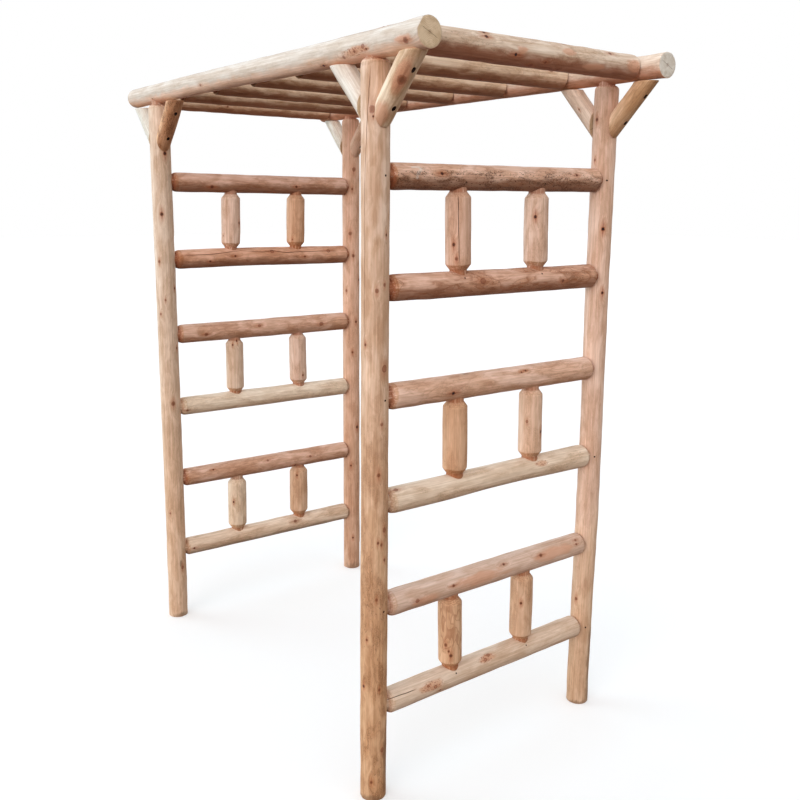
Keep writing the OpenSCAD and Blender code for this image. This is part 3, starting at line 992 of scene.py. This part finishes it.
def lay_post(node, drift):
    middle = middle_of(node)
    foot = Vector((middle.x, middle.y, 0.0))
    head = Vector((middle.x, middle.y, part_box(node)[1].z - TENON_LEN))
    head.z += strayed(f"beam_{node.split('_')[1]}", head).z
    logs[node] = Log(foot, head, X, Y, sawn(), tenoned(POST_NOSE), drift)


def lay_rafter(node):
    low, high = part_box(node)
    middle = middle_of(node)
    front = Vector((middle.x, low.y + TENON_LEN, middle.z))
    back = Vector((middle.x, high.y - TENON_LEN, middle.z))
    front += strayed("beam_front", front)
    back += strayed("beam_back", back)
    logs[node] = Log(front, back, X, Z, tenoned(0, RAFTER_NECK), tenoned(0, RAFTER_NECK))


def lay_rail(node, ends, drift):
    low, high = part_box(node)
    middle, side = middle_of(node), node.split("_")[1]
    front = Vector((middle.x, low.y + TENON_LEN, middle.z + ends[0] * MM))
    back = Vector((middle.x, high.y - TENON_LEN, middle.z + ends[1] * MM))
    front = seated(f"post_front_{side}", front, -Y)
    back = seated(f"post_back_{side}", back, Y)
    logs[node] = Log(front, back, X, Z, tenoned(RAIL_FRONT_NOSE), tenoned(RAIL_BACK_NOSE), drift)


def rails_of(node):
    """The rails under and over a spindle."""
    _, side, pair, _ = node.split("_")
    under = 2 * ("low", "middle", "top").index(pair) + 1
    return f"rail_{side}_{under}", f"rail_{side}_{under + 1}"


def lay_spindle(node, slide):
    """A spindle stands between two rails, slid along them by a few mm at its foot and its head."""
    low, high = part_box(node)
    middle = middle_of(node)
    under, over = rails_of(node)
    foot = Vector((middle.x, middle.y + slide[0] * MM, low.z + TENON_LEN))
    head = Vector((middle.x, middle.y + slide[1] * MM, high.z - TENON_LEN))
    foot = seated(under, foot, -Z)
    head = seated(over, head, Z)
    ends = tenoned(SPINDLE_CONE, SPINDLE_NECK, cone=True)
    logs[node] = Log(foot, head, X, Y, ends, ends)


def lay_brace(node, radius, reach, drop):
    """A slanted log, sawn upright at the post and level at the beam. Its lower edge runs from
    tip to tip, and its axis lies one radius above that."""
    low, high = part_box(node)
    _, end, side, kind = node.split("_")
    away = 1 if (side == "right") == (kind == "outer") else -1
    foot_x, tip_x = (low.x, high.x + reach * MM) if away > 0 else (high.x, low.x - reach * MM)
    foot = Vector((foot_x, middle_of(node).y, low.z - drop * MM))
    tip = Vector((tip_x, foot.y, high.z))
    foot += strayed(f"post_{end}_{side}", foot)
    tip += strayed(f"beam_{end}", tip)
    slope = math.atan2(tip.z - foot.z, abs(tip.x - foot.x))
    along = Vector((away * math.cos(slope), 0, math.sin(slope)))
    under = Vector((away * math.sin(slope), 0, -math.cos(slope)))
    start = foot + Z * (radius / math.cos(slope))
    head = start + along * ((tip.z - start.z) / math.sin(slope))
    logs[node] = Log(start, head, -Y, under, sawn(), sawn(),
                     near_cut=-math.tan(slope), far_cut=1 / math.tan(slope))
    foot_hole = start + X * (away * (radius / math.sin(slope) - SUNK_HOLE_DEPTH))
    head_hole = head + Z * (SUNK_HOLE_DEPTH - radius / math.cos(slope))
    bores[node] += [(foot_hole, foot_hole + X * (away * SUNK_HOLE_REACH), SUNK_HOLE_R),
                    (head_hole, head_hole - Z * SUNK_HOLE_REACH, SUNK_HOLE_R)]


for node, extra in BEAMS.items():
    lay_beam(node, extra["ends"], extra.get("drift"))
for node, extra in POSTS.items():
    lay_post(node, extra.get("drift"))
for node in RAFTERS:
    lay_rafter(node)
for node, extra in RAILS.items():
    lay_rail(node, extra.get("ends", (0, 0)), extra.get("drift"))
for node, extra in SPINDLES.items():
    lay_spindle(node, extra.get("slide", (0, 0)))
for node, extra in BRACES.items():
    lay_brace(node, extra["girth"] * MM, extra.get("reach", 0), extra.get("drop", 0))


# ---------------------------------------------------------------- mortises and pins

def mortise(host, guest, far):
    """Bores the host for a tenon of the guest, at its near or its far end."""
    log = logs[guest]
    at, way = (log.middle(log.length), log.along) if far else (log.middle(0), -log.along)
    bores[host].append((at - way * MORTISE_BACK, at + way * (TENON_LEN + 0.5 * MM), MORTISE_R))


def pin(host, at, way, surface, radius):
    """A pin hole in the host, from its surface inwards."""
    bores[host].append((at + way * (surface - PIN_DEPTH), at + way * (surface + PIN_BACK), radius))


for end, far in (("front", False), ("back", True)):
    for side in ("left", "right"):
        post = f"post_{end}_{side}"
        mortise(f"beam_{end}", post, far=True)
        for i in range(1, 7):
            mortise(post, f"rail_{side}_{i}", far)
        outward = 1 if side == "right" else -1
        for i, degrees in POST_PINS[end]:
            turn = math.radians(degrees)
            rail = logs[f"rail_{side}_{i}"]
            at = logs[post].middle(rail.middle(rail.length if far else 0).z)
            pin(post, at, Vector((outward * math.cos(turn), math.sin(turn), 0)), SEAT_R * MM, PIN_R)
    for node in RAFTERS:
        mortise(f"beam_{end}", node, far)
for node in SPINDLES:
    for rail, far, degrees in zip(rails_of(node), (False, True), RAIL_PINS):
        mortise(rail, node, far)
        if rail[-1] in PINNED_RAILS:
            turn = math.radians(degrees)
            spindle = logs[node]
            place = spindle.middle(spindle.length if far else 0).y - logs[rail].start.y
            outward = 1 if "right" in node else -1
            way = Vector((outward * math.cos(turn), 0, math.sin(turn)))
            pin(rail, logs[rail].middle(place), way, RAIL_R * MM, PIN_R * 0.8)


# ---------------------------------------------------------------- making the logs

def unseen_knots(node, facing):
    """A few small knots on the sides away from the front, so that no side is bare."""
    rng = random.Random(seed_of[node] + 900)
    length = logs[node].length / MM
    return [(facing + rng.uniform(-75, 75), rng.uniform(40, max(60, length - 40)), rng.uniform(3, 8),
             rng.choice((0.3, 0.6, 0.9))) for _ in range(max(1, round(length / 170)))]


# The direction, round each kind of log, that faces away from the front
UNSEEN = {"post": 145, "beam": 150, "rafter": 90, "rail": 180, "spindle": 145, "brace": 170}
hole_finish = shaded_bore_lining()
for node, extra in LOOKS.items():
    kind = node.split("_")[0]
    seed, log = seed_of[node], logs[node]
    piece = build_log(f"{node}_log", log, own_girth(node), seed,
                      knots=[*extra.get("knots", ()), *unseen_knots(node, UNSEEN[kind])],
                      checks=extra.get("checks", ()), marks=extra.get("marks", ()),
                      flats=max(3, round(log.length / FLAT_EVERY)))
    piece.data.materials.append(PeeledWood(f"{node}_wood", extra["look"], log.length, seed).owner)
    piece.data.materials.append(hole_finish)
    if bores[node]:
        bore_out(piece, bores[node], hole_finish)
    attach(piece, "root")
    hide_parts(node)


# ---------------------------------------------------------------- floor, light and camera

def ray_share(f):
    """1 for rays that draw the picture or its reflections, 0 for rays that light the object."""
    camera, glossy, through = f.add("ShaderNodeLightPath", {}, {},
                                    output=("Is Camera Ray", "Is Glossy Ray", "Is Transmission Ray"))
    return camera.most(glossy).most(through)


def pale_floor():
    """White to the camera, with the object's soft shadow; dull and warm to the wood above it."""
    f = Finish(bpy.data.materials.new("pale_floor"))
    lights = f.add("ShaderNodeBsdfDiffuse", {}, {"Color": (0.05, 0.02, 0.01, 1.0)})
    matt = f.add("ShaderNodeBsdfDiffuse", {}, {"Color": (0.80, 0.71, 0.66, 1.0)})
    bright = f.add("ShaderNodeEmission", {}, {"Color": (1.0, 1.0, 1.0, 1.0), "Strength": 0.29})
    shows = f.add("ShaderNodeAddShader", {}, {0: matt, 1: bright})
    shader = f.add("ShaderNodeMixShader", {}, {0: ray_share(f), 1: lights, 2: shows})
    f.add("ShaderNodeOutputMaterial", {}, {"Surface": shader})
    return f.owner


def studio_world():
    """White to the camera; to the object a soft dome, warm and dimmer at the sides than above."""
    f = Finish(bpy.data.worlds.new("studio"))
    _, _, up = f.parts(f.add("ShaderNodeTexCoord", {}, {}, output="Generated"))
    dome = f.mix(up.rise(0.0, 1.1), (1.04, 1.02, 0.90, 1.0), (0.66, 0.89, 1.12, 1.0))
    shows = f.mix(ray_share(f), dome, (1.0, 1.0, 1.0, 1.0))
    backdrop = f.add("ShaderNodeBackground", {}, {"Color": shows, "Strength": 1.0})
    f.add("ShaderNodeOutputWorld", {}, {"Surface": backdrop})
    return f.owner


FLOOR_HALF = 40.0
floor_mesh = bpy.data.meshes.new("floor")
floor_corners = [(x * FLOOR_HALF, y * FLOOR_HALF, 0) for x, y in ((-1, -1), (1, -1), (1, 1), (-1, 1))]
floor_mesh.from_pydata(floor_corners, [], [(0, 1, 2, 3)])
floor = bpy.data.objects.new("floor", floor_mesh)
bpy.context.scene.collection.objects.link(floor)
floor_mesh.materials.append(pale_floor())
bpy.context.scene.world = studio_world()


def lamp(name, energy, tone, spread, way):
    """A far soft lamp: its strength, its colour, how many degrees wide it is and where it shines."""
    data = bpy.data.lights.new(name, "SUN")
    data.energy, data.color, data.angle = energy, tone, math.radians(spread)
    made = bpy.data.objects.new(name, data)
    made.rotation_euler = Vector(way).to_track_quat("-Z", "Y").to_euler()
    bpy.context.scene.collection.objects.link(made)


lamp("key_lamp", 2.15, (1.0, 1.0, 1.02), 50, (-0.38, 0.92, -0.10))
lamp("rim_lamp", 1.8, (0.60, 0.90, 1.08), 40, (0.81, 0.56, -0.17))

camera = bpy.data.cameras.new("camera")
camera.sensor_width = 36.0
camera.lens = 39.958
camera.shift_x, camera.shift_y = 0.0002, -0.0359
camera_object = bpy.data.objects.new("camera", camera)
camera_object.matrix_world = (
    Matrix.Translation((2.6194, -1.7611, 1.6973))
    @ Matrix.Rotation(math.radians(53.4517), 4, "Z")
    @ Matrix.Rotation(math.radians(90 - 10.7399), 4, "X")
    @ Matrix.Rotation(math.radians(0.46186), 4, "Z"))
bpy.context.scene.collection.objects.link(camera_object)
bpy.context.scene.camera = camera_object
bpy.context.scene.view_settings.view_transform = "Standard"
